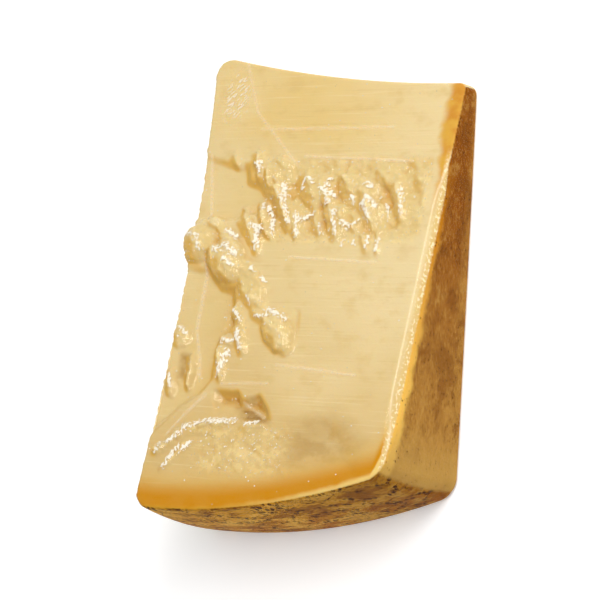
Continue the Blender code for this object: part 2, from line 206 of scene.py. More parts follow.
FACES_UP, FACES_SPLIT = (0.25, 0.85), (0.3, 0.9)  # how closely a normal has to point that way
SPLIT_CHIP_SIZE, SPLIT_CHIP_RISE = 14.0, 2.4
SPLIT_CRUMB_SIZE, SPLIT_CRUMB_RISE = 4.5, 0.9
SPLIT_FADE = 12.0  # from both its edges inwards
SIDE_FOLLOWS = (-0.6, 2.0)  # as far as the split side's upper edge follows the upper face
SMALL_CHIP_SIZE, SMALL_CHIP_RISE = 1.9, 0.45
SMALL_CHIP_TORN = 1.4  # they have their full height from 1 / 1.4 torn
GRAIN_SIZE, GRAIN_RISE = 0.95, 0.12
GRAIN_SMOOTH, GRAIN_TORN = 0.3, 0.7  # shares of its rise everywhere, and more where the paste is torn
SLOPE = 2.0  # how much height counts as length in the pattern of small chips and grain
# Painted shade: flanks facing away from this direction are painted amber, grooves golden, and crests paler as
# painted light
TO_THE_RIGHT = (0.87, 0.5, 0.0)  # flanks that face away from this are in amber shade
GROOVE_EVENED, FLANK_EVENED = 40, 3  # rounds of evening behind the colours of grooves and flanks

# The film on the paste
BRIDGE_REACH, BRIDGE_EVENED, FILM_EVENED = 4, 2, 1  # cells of a gap that it spans, and rounds of evening
BRIDGES_INSIDE = (1.0, 5.0)  # from the edges of the upper face
FACET_SIZE, FACET_RISE = 2.0, 0.5  # where it is drawn over torn paste
FACETS_TORN = (0.2, 0.8)
CREASE_RISE, PUCKER_RISE = 0.2, 0.2
SHEEN_FROM_FLAT, SHEEN_FROM_HEEL = (2.5, 6.0), (0.5, 2.0)  # it has its full sheen away from the rind

# Creases of the film, white partly as milky film and partly as a painted highlight: from, to, half width
CREASES = (
    # from the tip's corner down to the torn band, and along the split side
    ((-112, -18), (-100, -42), 0.9),
    ((-100, -42), (-72, -68), 0.9),
    ((-119, -62), (-111, -92), 1.1),
    ((-107, -110), (-105, -140), 1.4),
    ((-105, -140), (-100, -152), 1.0),
    ((-100, -152), (-98, -160), 1.0),
    ((-91, -168), (-99, -177), 1.4),
    ((-99, -177), (-105, -185), 0.9),
    # above the pit and in it
    ((-84, -163), (-62, -162), 0.9),
    ((-72, -170), (-60, -176), 0.9),
    # across the smooth cuts
    ((-96, -50), (-30, -51), 0.9),
    ((-70, -63), (-18, -66), 0.9),
    ((-66, -108), (-24, -110), 0.9),
    ((-60, -154), (-22, -157), 0.9),
)

# Puckers of the film over torn paste, painted white there as glints: from, to, half width
PAINTED_GLINT_PUCKERS = (
    # beside the upper crests
    ((-92, -66), (-90, -70), 2.0),
    ((-86, -84), (-84, -87), 1.2),
    ((-77, -76), (-75, -83), 2.2),
    ((-75, -83), (-70, -93), 1.5),
    ((-67, -74), (-67, -78), 1.3),
    ((-65, -73), (-62, -76), 1.2),
    ((-55, -74), (-56, -80), 1.9),
    ((-58, -78), (-50, -81), 1.5),
    ((-54, -80), (-53, -84), 1.9),
    ((-42, -82), (-41, -85), 1.6),
    ((-37, -76), (-34, -77), 1.4),
    ((-36, -86), (-34, -82), 1.9),
    ((-34, -82), (-30, -86), 1.5),
    ((-35, -86), (-31, -92), 1.9),
    ((-25, -85), (-24, -88), 1.3),
    ((-20, -78), (-17, -89), 1.4),
    # beside the lower crests
    ((-82, -86), (-78, -92), 1.5),
    ((-79, -92), (-77, -98), 1.5),
    ((-88, -94), (-82, -96), 1.8),
    ((-85, -96), (-83, -104), 1.8),
    ((-68, -88), (-66, -93), 1.2),
    ((-66, -92), (-60, -89), 1.8),
    ((-66, -93), (-65, -99), 1.5),
    ((-55, -94), (-53, -98), 1.3),
    ((-49, -88), (-46, -98), 1.6),
    ((-44, -93), (-40, -95), 2.0),
    ((-40, -95), (-36, -92), 1.3),
    ((-42, -101), (-42, -103), 0.9),
    ((-37, -101), (-36, -103), 0.9),
    ((-30, -99), (-30, -104), 1.2),
    ((-25, -100), (-25, -105), 1.3),
    # on the round lumps
    ((-99, -97), (-94, -100), 2.0),
    ((-102, -106), (-97, -107), 2.2),
    ((-97, -105), (-91, -108), 2.5),
    ((-95, -111), (-91, -113), 1.8),
    ((-118, -99), (-112, -100), 1.5),
    ((-112, -102), (-110, -106), 1.2),
    ((-83, -113), (-81, -115), 1.3),
    ((-77, -117), (-75, -119), 1.3),
    ((-81, -126), (-79, -128), 1.3),
    # down from the lumps into the face
    ((-75, -134), (-69, -134), 1.3),
    ((-70, -131), (-60, -135), 1.9),
    ((-86, -132), (-82, -136), 1.6),
    ((-82, -141), (-79, -148), 1.9),
    ((-91, -145), (-83, -145), 1.6),
    ((-85, -150), (-87, -159), 2.5),
    # beside the split
    ((-113, -139), (-109, -142), 1.3),
    ((-112, -160), (-110, -165), 1.3),
    # round the pit
    ((-97, -182), (-88, -179), 1.9),
    ((-88, -179), (-74, -178), 2.0),
    ((-67, -179), (-62, -178), 1.6),
    ((-95, -182), (-104, -189), 1.6),
    ((-107, -189), (-108, -193), 1.3),
    ((-92, -188), (-96, -192), 1.3),
    ((-97, -190), (-103, -199), 1.4),
)

# Finely crinkled film by the tip, painted white as glints: middle, half sizes, and shares of them where it
# begins and is full
CRINKLED, CRINKLED_SIZE, CRINKLED_FADE = (-113, -34), (9, 16), (1.0, 0.4)

# Sockets of the Mix node for colours, and what the patterns of streaks and crinkles are made with
MIX_SHARE, MIX_FIRST, MIX_SECOND, MIX_RESULT = 0, 6, 7, 2
STREAKS = (0.03, 1.1, 0.5)
CRINKLE_TURN = -0.9

# Tones of the smooth cuts, as screen values from 0 to 255
STRAW_AT_TIP, STRAW = (223, 194, 128), (223, 199, 144)
PALE_BY_FLAT, DULL_TO_HEEL = (230, 209, 160), (211, 179, 116)
PALE_CLOUD, DULL_CLOUD = (230, 207, 155), (210, 178, 112)
PALE_STREAK, DULL_STREAK = (236, 216, 168), (200, 170, 110)

# Tones of torn paste, with painted light on its crests and painted shade in its hollows, grooves, left flanks
# and dark patches
TORN_STRAW, PAINTED_LIGHT_ON_CRESTS = (224, 196, 128), (242, 224, 174)
PALE_CRUMB, DARK_CRUMB = (240, 214, 148), (208, 172, 102)
PAINTED_SHALLOW_HOLLOW_SHADE, PAINTED_DEEP_HOLLOW_SHADE, PAINTED_DEEP_FLANK_SHADE = (218, 192, 130), (196, 154, 78), (190, 136, 40)
PATCH_SHADE_PAINTED, DARKEST_PATCH_SHADE_PAINTED = (176, 136, 70), (128, 88, 40)
PAINTED_AMBER_FLANK_SHADE, PAINTED_GOLDEN_GROOVE_SHADE = (218, 170, 66), (210, 160, 62)

# Tones of the upper face along the heel and along the flat face
GOLD_BY_HEEL, AMBER_BY_HEEL = (214, 170, 78), (202, 136, 2)
# The next two tones are a painted highlight along the rounded upper edge by the heel, paler by the flat face
RIM_PAINTED_HIGHLIGHT, RIM_PAINTED_HIGHLIGHT_BY_FLAT = (214, 160, 50), (232, 200, 120)
GOLD_BY_FLAT, AMBER_BY_FLAT = (214, 160, 46), (202, 132, 16)
# The third tone is a painted highlight along a crease of the film beside the strip, partly milky film
STRIP, STRIP_CRUMB_AND_PAINTED_SPARKLE, PAINTED_CREASE_HIGHLIGHT = (222, 190, 124), (252, 238, 200), (244, 224, 182)

# Tones of the rind on the flat face
FLAT_BROWN, FLAT_BY_HEEL, FLAT_AT_FOOT = (142, 78, 4), (176, 126, 52), (178, 130, 56)
DARK_FIBRE, PALE_FIBRE = (100, 52, 4), (200, 150, 70)
DARK_BLOTCH, PALE_BLOTCH = (116, 64, 8), (196, 148, 70)
FRINGE, FRINGE_BY_HEEL = (188, 120, 20), (240, 190, 88)
WORN_CORNER, PALE_LINE, RIND_SPECK = (194, 152, 76), (214, 168, 92), (70, 36, 4)

# Tones of the rind on the heel
HEEL_AT_TOP, HEEL_AT_FOOT, HEEL_BY_FLAT = (212, 150, 36), (176, 104, 4), (110, 58, 0)
PALE_PATCH, DARK_PATCH, HEEL_FIBRE = (236, 184, 76), (122, 62, 0), (104, 50, 0)
HEEL_DOT, HEEL_CRACK = (62, 26, 0), (58, 24, 0)

# Tones of the film's painted glints, and of its creases, white partly as milky film and partly as a painted
# highlight
GLINT, CREASE_GLINT = (255, 247, 226), (255, 240, 205)

# Floor and light, in metres and watts
FLOOR_HALF, FLOOR_DROP = 3.0, 0.0002
FLOOR_WHITE, FLOOR_GLOW = (0.96, 0.96, 0.96, 1.0), 0.25
SKY_WHITE, SKY_STRENGTH = (1.0, 1.0, 1.0, 1.0), 0.42
SOFT_BOXES = (
    # name, direction from the part, distance, sides, power
    ("overhead", (0.22, 0.25, 0.94), 1.2, (0.45, 0.85), 7.8),
    ("side", (0.42, 0.55, 0.72), 1.3, (0.5, 0.5), 4.2),
)


def smooth(low, high, value):
    """0 below low, 1 above high, and an even slope between."""
    t = np.clip((value - low) / (high - low), 0.0, 1.0)
    return t * t * (3.0 - 2.0 * t)


# Outline of the wedge: each face as a distance, which is negative inside


def wheel_radius(x):
    return WHEEL_RADIUS - RIM_DROP * ((HALF_HEIGHT + x) / HALF_HEIGHT) ** 2


def tip_distance(x):
    return TIP_FAR - (TIP_FAR - TIP_NEAR) * np.clip(-x / SPLIT_AT_TIP, 0.0, 1.1) ** TIP_BEND


def split_x(y):
    return -SPLIT_AT_HEEL - (SPLIT_AT_TIP - SPLIT_AT_HEEL) * np.exp((y + 2 * TIP_NEAR) / SPLIT_BEND)


def flat_x(y, z):
    height = np.clip(np.arctan2(z, -y) / CUT_ANGLE, 0.0, 1.0)
    return FLAT_LEAN * (1.0 - height) * np.maximum(-y / WHEEL_RADIUS, 0.0) ** LEAN_GROWS


def rounded_join(distances, radius):
    """The distance to a body bounded by all these faces, with its edges rounded."""
    inset = [d + radius for d in distances]
    outside = np.sqrt(sum(np.maximum(d, 0.0) ** 2 for d in inset))
    inside = np.minimum(np.maximum.reduce(inset), 0.0)
    return outside + inside - radius


def face_distances(points):
    """How far each point is outside each face: split, flat face, tip, heel and upper cut face."""
    x, y, z = points.T
    split = split_x(y) - x
    flat = x - flat_x(y, z)
    tip = y + tip_distance(x)
    heel = np.hypot(y, z) - wheel_radius(x)
    upper = z * math.cos(CUT_ANGLE) + y * math.sin(CUT_ANGLE)
    return split, flat, tip, heel, upper


def wedge(points):
    """Distance from the wedge's smooth outline."""
    x, y, z = points.T
    split, flat, tip, heel, upper = face_distances(points)
    worn = smooth(*BEVEL_GROWS, -y) * (1.0 - smooth(*BEVEL_FADES, -y))
    bevel = (flat + upper + BEVEL * worn) / math.sqrt(2)
    at_tip = TIP_CORNERS[0] + (TIP_CORNERS[1] - TIP_CORNERS[0]) * smooth(*TIP_CORNERS_CHANGE, x)
    corner = at_tip + (HEEL_CORNERS - at_tip) * smooth(*CORNERS_CHANGE, -y)
    plan = rounded_join([split, flat, tip, heel], corner)
    return np.maximum(rounded_join([plan, upper, -z], EDGE_ROUND), bevel)


# Relief of the torn faces


def scattered(i, j, seed):
    """A number from -1 to 1 for each pair of whole numbers, with no visible order."""
    by_i, by_j, by_seed = SCATTER_FACTORS
    return np.modf(np.sin(i * by_i + j * by_j + seed * by_seed) * SCATTER_SIZE)[0]


def chips(u, v):
    """Height of a surface broken into flat chips, each tilted its own way. One chip is one unit wide."""
    column, row = np.floor(u), np.floor(v)
    total, share = np.zeros(u.shape), np.full(u.shape, 1e-9)
    for di in (-1, 0, 1):
        for dj in (-1, 0, 1):
            i, j = column + di, row + dj
            away_u = u - (i + 0.5 + CHIP_SCATTER * scattered(i, j, 1))
            away_v = v - (j + 0.5 + CHIP_SCATTER * scattered(i, j, 2))
            tilt = away_u * scattered(i, j, 4) + away_v * scattered(i, j, 5)
            weight = np.exp(-CHIP_SHARPNESS * (away_u**2 + away_v**2))
            total += weight * (CHIP_STEP * scattered(i, j, 3) + tilt)
            share += weight
    return total / share


def inside_distance(x, y, corners):
    """How far each point is inside a closed outline with these corners, negative outside it."""
    nearest = np.full(x.shape, np.inf)
    inside = np.zeros(x.shape, bool)
    for (ax, ay), (bx, by) in zip(corners, corners[1:] + corners[:1]):
        along_x, along_y = bx - ax, by - ay
        t = ((x - ax) * along_x + (y - ay) * along_y) / (along_x**2 + along_y**2)
        t = np.clip(t, 0.0, 1.0)
        nearest = np.minimum(nearest, np.hypot(x - ax - t * along_x, y - ay - t * along_y))
        crosses = (ay > y) != (by > y)
        if along_y:
            inside ^= crosses & (x < ax + (y - ay) * along_x / along_y)
    return np.where(inside, nearest, -nearest)


def hollows(x, y):
    """Depth of the smooth hollows and pits."""
    depth = np.zeros(x.shape)
    for corners, deep, tilt_x, tilt_y, edge in HOLLOWS:
        middle_x, middle_y = (sum(parts) / len(corners) for parts in zip(*corners))
        floor = deep + tilt_x * (x - middle_x) + tilt_y * (y - middle_y)
        here = floor * smooth(-edge / 3, edge, inside_distance(x, y, corners))
        depth = np.maximum(depth, here)
    return depth


def along_and_across(x, y, start, end):
    """Place of each point beside the line from start to end: its share of the way, and how far across it
    is, positive to the left of the way."""
    (ax, ay), (bx, by) = start, end
    length = math.hypot(bx - ax, by - ay)
    along_x, along_y = (bx - ax) / length, (by - ay) / length
    along = (x - ax) * along_x + (y - ay) * along_y
    across = (y - ay) * along_x - (x - ax) * along_y
    return along / length, across


def shade_patches_painted(x, y):
    """How dark the painted shade in the hollows' patches is, from 0 to 1."""
    dark = np.zeros(x.shape)
    for corners, outwards, inwards, strength in PAINTED_SHADE_PATCHES:
        dark = np.maximum(dark, strength * smooth(-outwards, inwards, inside_distance(x, y, corners)))
    return dark


def crests(x, y):
    """Height of the sharp crests: each grows out of the face, narrows, and breaks off at its end."""
    height = np.zeros(x.shape)
    for start, end, rise, right, left in CRESTS:
        share, across = along_and_across(x, y, start, end)
        width = np.where(across < 0, right, left) * (CREST_WIDTH - CREST_NARROWS * np.clip(share, 0.0, 1.0))
        grown = smooth(*CREST_GROWS, share) * (1.0 - smooth(*CREST_BREAKS, share))
        profile = np.maximum(1.0 - np.abs(across) / width, 0.0) ** CREST_PROFILE
        height = np.maximum(height, rise * grown * profile)
    return height


def lumps(x, y):
    """Height of the round lumps, which are steep at their foot."""
    height = np.zeros(x.shape)
    for cx, cy, long_half, wide_half, turn, rise in LUMPS:
        c, s = math.cos(math.radians(turn)), math.sin(math.radians(turn))
        along = ((x - cx) * c + (y - cy) * s) / long_half
        across = ((y - cy) * c - (x - cx) * s) / wide_half
        reach = np.clip(1.0 - along**2 - across**2, 0.0, 1.0)
        height = np.maximum(height, rise * reach**LUMP_PROFILE)
    return height


def torn_area(x, y, from_heel, from_tip, from_split, from_flat):
    """1 inside an area that fades in from four sides, 0 outside it."""
    return smooth(*from_heel, y) * smooth(*from_tip, y) * smooth(*from_split, x) * smooth(*from_flat, x)


def turned(x, y, size):
    """Places counted in chips of this size, turned and stretched along the crests."""
    c, s = math.cos(CHIP_TURN), math.sin(CHIP_TURN)
    return (x * c + y * s) / (size * CHIP_STRETCH), (y * c - x * s) / size


def upper_relief(x, y):
    """Height of the upper cut face over its plane, and how torn it is, from 0 to 1."""
    broken = chips(*turned(x, y, CHIP_SIZE))
    ragged = chips(x / RAGGED_SIZE, y / RAGGED_SIZE)
    shifted_x = x + CHIP_SHIFT[0] * broken + RAGGED_SHIFT[0] * ragged
    shifted_y = y + CHIP_SHIFT[1] * broken + RAGGED_SHIFT[1] * ragged
    rise = np.maximum(crests(shifted_x, shifted_y), lumps(shifted_x, shifted_y))
    hollow = hollows(x + HOLLOW_SHIFT * broken, y + HOLLOW_SHIFT * ragged)
    hollow = hollow * (1.0 - smooth(*HOLLOW_ENDS, rise))
    band, rough = torn_area(x, y, *TORN_BAND), ROUGH_SHARE * torn_area(x, y, *ROUGH_PATCH)
    torn = np.maximum.reduce([band, rough, smooth(*TORN_RISE, rise), smooth(*TORN_DEPTH, hollow)])
    return rise - hollow - BAND_FLOOR * band + CHIP_RISE * torn * broken, torn, hollow


def on_upper_face(normals):
    """1 where the surface faces as the upper cut face does, fading to 0 round its edges."""
    return smooth(*FACES_UP, normals @ (0.0, math.sin(CUT_ANGLE), math.cos(CUT_ANGLE)))


def relief(points, normals):
    """How far each point of the smooth outline moves along its normal, how torn it is, and how deep its
    hollow is."""
    x, y, z = points.T
    upper = on_upper_face(normals)
    split = smooth(*FACES_SPLIT, -normals[:, 0]) * (1.0 - upper)
    top, torn, hollow = upper_relief(x, y)
    below = smooth(0.0, SPLIT_FADE, -y * math.tan(CUT_ANGLE) - z)
    broken = SPLIT_CHIP_RISE * chips(y / SPLIT_CHIP_SIZE, z / SPLIT_CHIP_SIZE)
    broken += SPLIT_CRUMB_RISE * chips(y / SPLIT_CRUMB_SIZE, z / SPLIT_CRUMB_SIZE)
    side = broken * below * smooth(0.0, SPLIT_FADE, z) + np.clip(top, *SIDE_FOLLOWS) * (1.0 - below)
    return upper * top + split * side, np.maximum(upper * torn, split), upper * hollow


def fine_relief(points, torn):
    """The small chips and the grain that the torn paste adds to the relief."""
    x, y, z = points.T
    down = y - SLOPE * z
    small = np.minimum(SMALL_CHIP_TORN * torn, 1.0) * chips(*turned(x, down, SMALL_CHIP_SIZE))
    grain = (GRAIN_SMOOTH + GRAIN_TORN * torn) * chips(x / GRAIN_SIZE, down / GRAIN_SIZE)
    return SMALL_CHIP_RISE * small + GRAIN_RISE * grain


# The grid


def cast(anchors, through):
    """The points where rays from the anchors through these points leave the wedge."""
    reach = through - anchors
    low, high = np.zeros(len(anchors)), np.full(len(anchors), RAY_REACH)
    for _ in range(RAY_HALVINGS):
        middle = (low + high) / 2
        outside = wedge(anchors + middle[:, None] * reach) > 0
        high = np.where(outside, middle, high)
        low = np.where(outside, low, middle)
    return anchors + low[:, None] * reach


def normals_at(points):
    steps_aside = NORMAL_STEP * np.eye(3)
    slopes = np.stack([wedge(points + step) - wedge(points - step) for step in steps_aside], axis=1)
    return slopes / np.linalg.norm(slopes, axis=1)[:, None]


def place(shares):
    """Shares of the way along X, along Y and up, from 0 to 1, as a place in the sharp-edged wedge."""
    across, along, up = shares.T
    angle = up * CUT_ANGLE
    x = (across - 1.0) * SPLIT_AT_HEEL
    for _ in range(PLACE_ROUNDS):
        y = -tip_distance(x) - along * (wheel_radius(x) * np.cos(angle) - tip_distance(x))
        z = -y * np.tan(angle)
        x = split_x(y) * (1.0 - across) + flat_x(y, z) * across
    return np.stack([x, y, z], axis=1)


def steps(length, turn_at, first_size, second_size):
    """Grid lines along a length, as shares of it, with narrow cells at both ends."""
    start, end = FIRST_CELLS[-1], length - FIRST_CELLS[-1]
    first = np.linspace(start, turn_at, round((turn_at - start) / first_size) + 1)
    second = np.linspace(turn_at, end, round((end - turn_at) / second_size) + 1)
    ends = [length - narrow for narrow in reversed(FIRST_CELLS[:-1])]
    return np.array([0.0, *FIRST_CELLS[:-1], *first[:-1], *second, *ends, length]) / length


def levels():
    """Grid lines upwards, as shares of the thickness."""
    thickness = WHEEL_RADIUS * math.tan(CUT_ANGLE)
    ends = [cell / thickness for cell in SIDE_CELLS]
    middle = np.linspace(ends[-1], 1.0 - ends[-1], SIDE_ROWS)
    return np.array([0.0, *ends[:-1], *middle, *[1.0 - end for end in reversed(ends[:-1])], 1.0])


class Grid:
    """The grid over the wedge's surface: its quads, its points on the smooth outline and their normals."""

    def __init__(self):
        self.lines = (
            steps(SPLIT_AT_HEEL, SPLIT_AT_HEEL - TORN_FROM_FLAT, FINE, COARSE),
            steps(WHEEL_RADIUS - TIP_FAR, TORN_FROM_TIP, COARSE, FINE),
            levels(),
        )
        self.counts = [len(line) - 1 for line in self.lines]
        self.index = {}
        self.faces = [[self.number(corner) for corner in ring] for ring in self.rings()]
        self.faces.append([self.number(corner) for corner in self.foot()])
        across, along, up = self.counts
        self.top = np.array([[self.index[i, j, up] for j in range(along + 1)] for i in range(across + 1)])
        self.outline, self.normals = self.shape()

    def number(self, corner):
        return self.index.setdefault(corner, len(self.index))

    def rings(self):
        """The corners of every quad. The foot has only its outermost row."""
        last = self.counts
        for axis in range(3):
            first, second = (axis + 1) % 3, (axis + 2) % 3
            for side in (0, last[axis]):
                for i in range(last[first]):
                    for j in range(last[second]):
                        if axis == 2 and side == 0 and 0 < i < last[0] - 1 and 0 < j < last[1] - 1:
                            continue
                        ring = []
                        for di, dj in ((0, 0), (1, 0), (1, 1), (0, 1)):
                            corner = [side] * 3
                            corner[first], corner[second] = i + di, j + dj
                            ring.append(tuple(corner))
                        yield ring[::-1] if side else ring

    def foot(self):
        """The loop round the flat middle of the foot."""
        last_x, last_y = self.counts[0] - 1, self.counts[1] - 1
        by_tip = [(i, 1, 0) for i in range(1, last_x)]
        by_flat = [(last_x, j, 0) for j in range(1, last_y)]
        by_heel = [(i, last_y, 0) for i in range(last_x, 1, -1)]
        by_split = [(1, j, 0) for j in range(last_y, 1, -1)]
        return by_tip + by_flat + by_heel + by_split

    def shape(self):
        shares = np.array([[line[k] for line, k in zip(self.lines, corner)] for corner in self.index])
        thickness = -place(shares)[:, 1] * math.tan(CUT_ANGLE)
        inset_x = np.full(len(shares), CORE_INSET / SPLIT_AT_HEEL)
        inset_y = np.full(len(shares), CORE_INSET / (WHEEL_RADIUS - TIP_FAR))
        inset = np.stack([inset_x, inset_y, np.minimum(0.5, CORE_INSET / thickness)], axis=1)
        outline = cast(place(np.clip(shares, inset, 1.0 - inset)), place(shares))
        return outline, normals_at(outline)


def neighbours(values, corners_too):
    """The grid as it is and shifted by one cell each way, edges repeated."""
    padded = np.pad(values, 1, mode="edge")
    shifts = [(1, 1), (0, 1), (2, 1), (1, 0), (1, 2)]
    if corners_too:
        shifts += [(0, 0), (0, 2), (2, 0), (2, 2)]
    return [padded[i : i + values.shape[0], j : j + values.shape[1]] for i, j in shifts]


def bridged(values, reach):
    """Narrow gaps of the surface filled up, as a stretched film spans them."""
    for pick in (np.maximum, np.minimum):
        for k in range(reach):
            values = pick.reduce(neighbours(values, k % 2 == 1))
    return values


def evened(values, rounds):
    for _ in range(rounds):
        values = sum(neighbours(values, True)) / 9.0
    return values


def add_fact(mesh, name, values):
    mesh.attributes.new(name, "FLOAT", "POINT").data.foreach_set("value", values.astype(np.float32))


def make_mesh(name, grid, points, facts):
    """A piece of the part from the grid's faces, with these facts about each point for its material."""
    made = bpy.data.meshes.new(name)
    moved = points.copy()
    moved[:, :2] -= FOOTPRINT_CENTRE
    made.from_pydata((moved * MM).tolist(), [], grid.faces)
    made.shade_smooth()
    for fact, values in facts.items():
        add_fact(made, fact, values)
    piece = bpy.data.objects.new(name, made)
    bpy.context.scene.collection.objects.link(piece)
    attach(piece, BODY)
    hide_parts(NODE)
    return piece


# Materials


def tone(red, green, blue):
    """A colour given in screen values from 0 to 255, as a material takes it."""
    parts = [part / 255.0 for part in (red, green, blue)]
    linear = [part / 12.92 if part <= 0.04045 else ((part + 0.055) / 1.055) ** 2.4 for part in parts]
    return (*linear, 1.0)


class Value:
    """A value, colour or vector in a material. Sums and products of values add Math nodes."""

    def __init__(self, finish, output):
        self.finish, self.output = finish, output

    def __add__(self, other):
        return self.finish.math("ADD", self, other)

    def __radd__(self, other):
        return self.finish.math("ADD", other, self)

    def __sub__(self, other):
        return self.finish.math("SUBTRACT", self, other)

    def __rsub__(self, other):
        return self.finish.math("SUBTRACT", other, self)

    def __mul__(self, other):
        return self.finish.math("MULTIPLY", self, other)

    def most(self, other):
        return self.finish.math("MAXIMUM", self, other)

    def least(self, other):
        return self.finish.math("MINIMUM", self, other)

    def rising(self, low, high):
        """0 where the value is below low, 1 above high, and an even slope between."""
        limits = {"Value": self, "From Min": low, "From Max": high}
        return self.finish.node("ShaderNodeMapRange", {"interpolation_type": "SMOOTHSTEP"}, limits)

    def falling(self, low, high):
        return 1 - self.rising(low, high)

    def near(self, middle, width):
        """1 at the middle, falling to 0 at this distance on both sides."""
        return self.finish.math("ABSOLUTE", self - middle).falling(0.0, width)


class Finish:
    """A material under construction."""

    def __init__(self, name):
        self.material = bpy.data.materials.new(name)
        self.material.use_nodes = True
        self.tree = self.material.node_tree
        self.tree.nodes.clear()

    def node(self, kind, settings=None, inputs=None, output=0):
        """Adds a node: its settings first, then the values or links of its sockets."""
        made = self.tree.nodes.new(kind)
        for key, value in (settings or {}).items():
            setattr(made, key, value)
        for key, value in (inputs or {}).items():
            if isinstance(value, Value):
                self.tree.links.new(value.output, made.inputs[key])
            else:
                made.inputs[key].default_value = value
        return Value(self, made.outputs[output])

    def math(self, operation, *values):
        return self.node("ShaderNodeMath", {"operation": operation}, dict(enumerate(values)))

    def fact(self, name):
        """A fact about each point of the piece, as make_mesh wrote it."""
        return self.node("ShaderNodeAttribute", {"attribute_name": name}, output="Fac")

    def mix(self, first, second, share):
        """Goes from the first colour to the second as the share goes from 0 to 1."""
        first, second = (tone(*colour) if isinstance(colour, tuple) else colour for colour in (first, second))
        inputs = {MIX_SHARE: share, MIX_FIRST: first, MIX_SECOND: second}
        return self.node("ShaderNodeMix", {"data_type": "RGBA"}, inputs, output=MIX_RESULT)

    def painted(self, ground, *coats):
        """The ground colour under these coats, each a colour and how much it covers."""
        for colour, share in coats:
            ground = self.mix(ground, colour, share)
        return ground

    def places(self, *scale):
        """Places on the piece in the frame's axes, stretched by these factors, counted per millimetre."""
        where = self.node("ShaderNodeTexCoord", output="Object")
        return self.stretched(where, *(factor / MM for factor in scale))

    def stretched(self, where, *factors):
        return self.node("ShaderNodeVectorMath", {"operation": "MULTIPLY"}, {0: where, 1: factors})

    def noise(self, where, detail=3.0, roughness=0.5):
        inputs = {"Vector": where, "Scale": 1.0, "Detail": detail, "Roughness": roughness}
        return self.node("ShaderNodeTexNoise", {}, inputs)

    def dots(self, where):
        """The distance from the nearest of many scattered dots."""
        return self.node("ShaderNodeTexVoronoi", {}, {"Vector": where, "Scale": 1.0})

    def lines(self, where, count, width):
        """Thin wavy lines: the contour lines of a noise, this many from its lowest to its highest place."""
        level = self.noise(where, detail=1.0) * count
        return self.math("FRACT", level).near(0.5, width)

    def bump(self, height, strength, distance):
        inputs = {"Height": height, "Strength": strength, "Distance": distance}
        return self.node("ShaderNodeBump", {}, inputs)

    def finish_with(self, shader):
        out = self.tree.nodes.new("ShaderNodeOutputMaterial")
        self.tree.links.new(shader.output, out.inputs["Surface"])
        return self.material


def straw(f, mottled):
    """The smooth cuts: paler by the flat face, duller to the heel, and streaked by the knife."""
    from_flat, from_tip, smooth_cut = f.fact("from_flat"), f.fact("from_tip"), 1 - f.fact("torn")
    broad = f.noise(f.places(0.02, 0.03, 0.02), detail=2.0)
    streaks = f.noise(f.places(*STREAKS), detail=4.0, roughness=0.6)
    return f.painted(
        f.mix(STRAW_AT_TIP, STRAW, from_tip.rising(25.0, 45.0)),
        (PALE_BY_FLAT, from_flat.falling(10.0, 70.0) * from_tip.falling(90.0, 150.0) * 0.7),
        (DULL_TO_HEEL, from_tip.rising(90.0, 160.0) * 0.8),
        (PALE_CLOUD, broad.rising(0.45, 0.7) * 0.5),
        (DULL_CLOUD, mottled.rising(0.5, 0.75) * 0.4),
        (PALE_STREAK, streaks.rising(0.55, 0.72) * smooth_cut * 0.35),
        (DULL_STREAK, streaks.falling(0.3, 0.42) * smooth_cut * 0.25),
    )


def torn_paste(f, paste, mottled):
    """Paler where it is torn, golden on its left flanks and in its grooves, and dark in patches."""
    torn, painted_shade_depth, hollow = f.fact("torn"), f.fact("painted_shade_depth"), f.fact("hollow")
    painted_patch_shade, painted_shade_flank = f.fact("painted_patch_shade"), f.fact("painted_shade_flank")
    half_torn = torn.near(0.4, 0.3)
    crumbly = f.noise(f.places(0.2, 0.2, 0.2), detail=4.0, roughness=0.6)
    darkest = painted_patch_shade.rising(0.9, 1.0) * mottled.rising(0.35, 0.55)
    flank_share = 0.8 - f.fact("from_flat").falling(40.0, 90.0) * 0.2
    return f.painted(
        paste,
        (TORN_STRAW, torn * 0.7),
        # painted light: crests paler than the paste beside them
        (PAINTED_LIGHT_ON_CRESTS, painted_shade_depth.falling(-2.4, -0.3) * torn * 0.7),
        (PALE_CRUMB, crumbly.rising(0.5, 0.58) * half_torn * 0.45),
        (DARK_CRUMB, crumbly.falling(0.36, 0.44) * half_torn * 0.4),
        # painted shade in shallow hollows
        (PAINTED_SHALLOW_HOLLOW_SHADE, hollow.rising(0.8, 3.0) * (1 - torn) * 0.6),
        # painted shade in patches in the hollows, darkest on the pit's floor
        (PATCH_SHADE_PAINTED, painted_patch_shade * (0.45 + mottled.rising(0.4, 0.6) * 0.45)),
        (DARKEST_PATCH_SHADE_PAINTED, darkest * 0.5),
        # painted amber shade on flanks that face away from the light
        (PAINTED_AMBER_FLANK_SHADE, painted_shade_flank.rising(0.04, 0.32) * flank_share),
        # painted golden shade in grooves
        (PAINTED_GOLDEN_GROOVE_SHADE, painted_shade_depth.rising(0.4, 2.2) * (0.3 + torn * 0.5)),
        # painted shade in deep hollows, and on their walls that face away from the light
        (PAINTED_DEEP_HOLLOW_SHADE, hollow.rising(2.6, 5.5) * 0.7),
        (PAINTED_DEEP_FLANK_SHADE, hollow.rising(3.0, 5.5) * painted_shade_flank.rising(0.05, 0.2)),
    )


